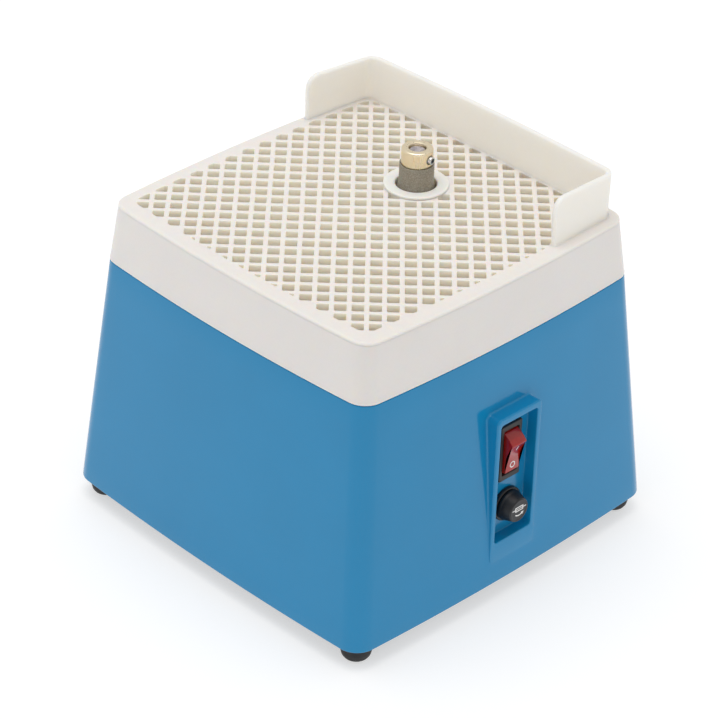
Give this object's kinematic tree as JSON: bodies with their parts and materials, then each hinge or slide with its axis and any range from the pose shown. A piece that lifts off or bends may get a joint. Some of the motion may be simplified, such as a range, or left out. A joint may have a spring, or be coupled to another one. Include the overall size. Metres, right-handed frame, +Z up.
{
  "type": "stained glass grinder",
  "caption": "Bench-top wet grinder for stained glass: tapered casing, lift-off grid worktop with splash guard over a water tray, and a diamond head on a vertical spindle.",
  "frame": {"origin": "on the bench under the middle of the casing, at the level of the feet", "axes": "+Z up; -Y is the front, where the user sits; +X is the side with the switch; the splash guard is at +Y"},
  "size_m": [0.2126, 0.2107, 0.1924],
  "materials": {
    "casing_blue": "satin-gloss moulded, smooth",
    "base_black": "matte moulded",
    "foot_rubber": "matte rubber",
    "zinc_steel": "zinc plated",
    "cast_aluminium": "as cast",
    "lamination_steel": "stacked laminations",
    "varnished_copper": "varnished copper wire",
    "bearing_steel": "ground",
    "shaft_steel": "ground",
    "fan_plastic": "moulded",
    "seal_rubber": "matte rubber",
    "capacitor_case": "moulded",
    "head_brass": "turned",
    "diamond_grit": "electroplated diamond grit",
    "screw_steel": "bright",
    "tray_white": "smooth moulded",
    "sponge_foam": "open-cell foam",
    "worktop_white": "smooth moulded",
    "switch_black": "moulded",
    "rocker_red": "translucent red",
    "terminal_brass": "stamped",
    "fuse_black": "moulded phenolic",
    "fuse_metal": "plated",
    "fuse_glass": "clear",
    "wire_brown": "wire insulation",
    "wire_black": "wire insulation",
    "wire_blue": "wire insulation"
  },
  "bodies": {
    "base": {"base_casing": "casing_blue", "base_plate": "base_black", "foot_front_left": "foot_rubber", "foot_front_right": "foot_rubber", "foot_rear_right": "foot_rubber", "foot_rear_left": "foot_rubber", "foot_screw_front_left": "zinc_steel", "foot_screw_front_right": "zinc_steel", "foot_screw_rear_right": "zinc_steel", "foot_screw_rear_left": "zinc_steel", "motor_end_bell_upper": "cast_aluminium", "motor_end_bell_lower": "cast_aluminium", "stator_core": "lamination_steel", "winding_upper": "varnished_copper", "winding_lower": "varnished_copper", "shaft_bearing_upper": "bearing_steel", "shaft_bearing_lower": "bearing_steel", "motor_bolt_1": "zinc_steel", "motor_bolt_2": "zinc_steel", "motor_bolt_3": "zinc_steel", "motor_bolt_4": "zinc_steel", "shaft_seal": "seal_rubber", "run_capacitor": "capacitor_case", "capacitor_strap": "zinc_steel", "switch_housing": "switch_black", "rocker_pin": "zinc_steel", "switch_terminal_line": "terminal_brass", "switch_terminal_load": "terminal_brass", "fuse_holder_body": "fuse_black", "fuse_holder_nut": "zinc_steel", "fuse_terminal_rear": "terminal_brass", "cable_inlet_grommet": "seal_rubber", "wire_live_to_fuse": "wire_brown", "wire_fuse_to_switch": "wire_brown", "wire_switch_to_motor": "wire_black", "wire_neutral_to_motor": "wire_blue"},
    "spindle": {"motor_shaft": "shaft_steel", "rotor_core": "lamination_steel", "cooling_fan": "fan_plastic", "shaft_slinger": "seal_rubber"},
    "grinding_head": {"grinding_head_core": "head_brass", "diamond_sleeve": "diamond_grit", "set_screw": "screw_steel"},
    "rocker": {"switch_rocker": "rocker_red"},
    "fuse_carrier": {"fuse_end_cap_inner": "fuse_metal", "fuse_glass_tube": "fuse_glass", "fuse_end_cap_outer": "fuse_metal"},
    "fuse_cap": {"fuse_cap": "fuse_black"},
    "tray": {"water_tray": "tray_white", "coolant_sponge": "sponge_foam"},
    "worktop": {"worktop_grid": "worktop_white", "grid_ring": "worktop_white", "splash_guard": "worktop_white"}
  },
  "joints": [
    {"name": "spindle_spin", "type": "hinge", "parent": "base", "child": "spindle", "pos_m": [-0.0023, 0.0341, 0.115], "axis": [0, 0, 1], "continuous": true},
    {"name": "head_height", "type": "slide", "parent": "spindle", "child": "grinding_head", "axis": [0, 0, 1], "range_m": [0, 0.035]},
    {"name": "rocker_tilt", "type": "hinge", "parent": "base", "child": "rocker", "pos_m": [0.095, 0, 0.0794], "axis": [0, -1, 0], "range_deg": [0, 26]},
    {"name": "fuse_pull", "type": "slide", "parent": "base", "child": "fuse_carrier", "axis": [1, 0, 0], "range_m": [0, 0.03]},
    {"name": "fuse_cap_turn", "type": "hinge", "parent": "fuse_carrier", "child": "fuse_cap", "pos_m": [0.1005, 0, 0.0487], "axis": [1, 0, 0], "range_deg": [0, 45]},
    {"name": "tray_lift", "type": "slide", "parent": "base", "child": "tray", "axis": [0, 0, 1], "range_m": [0, 0.065]},
    {"name": "worktop_lift", "type": "slide", "parent": "tray", "child": "worktop", "axis": [0, 0, 1], "range_m": [0, 0.03]}
  ]
}
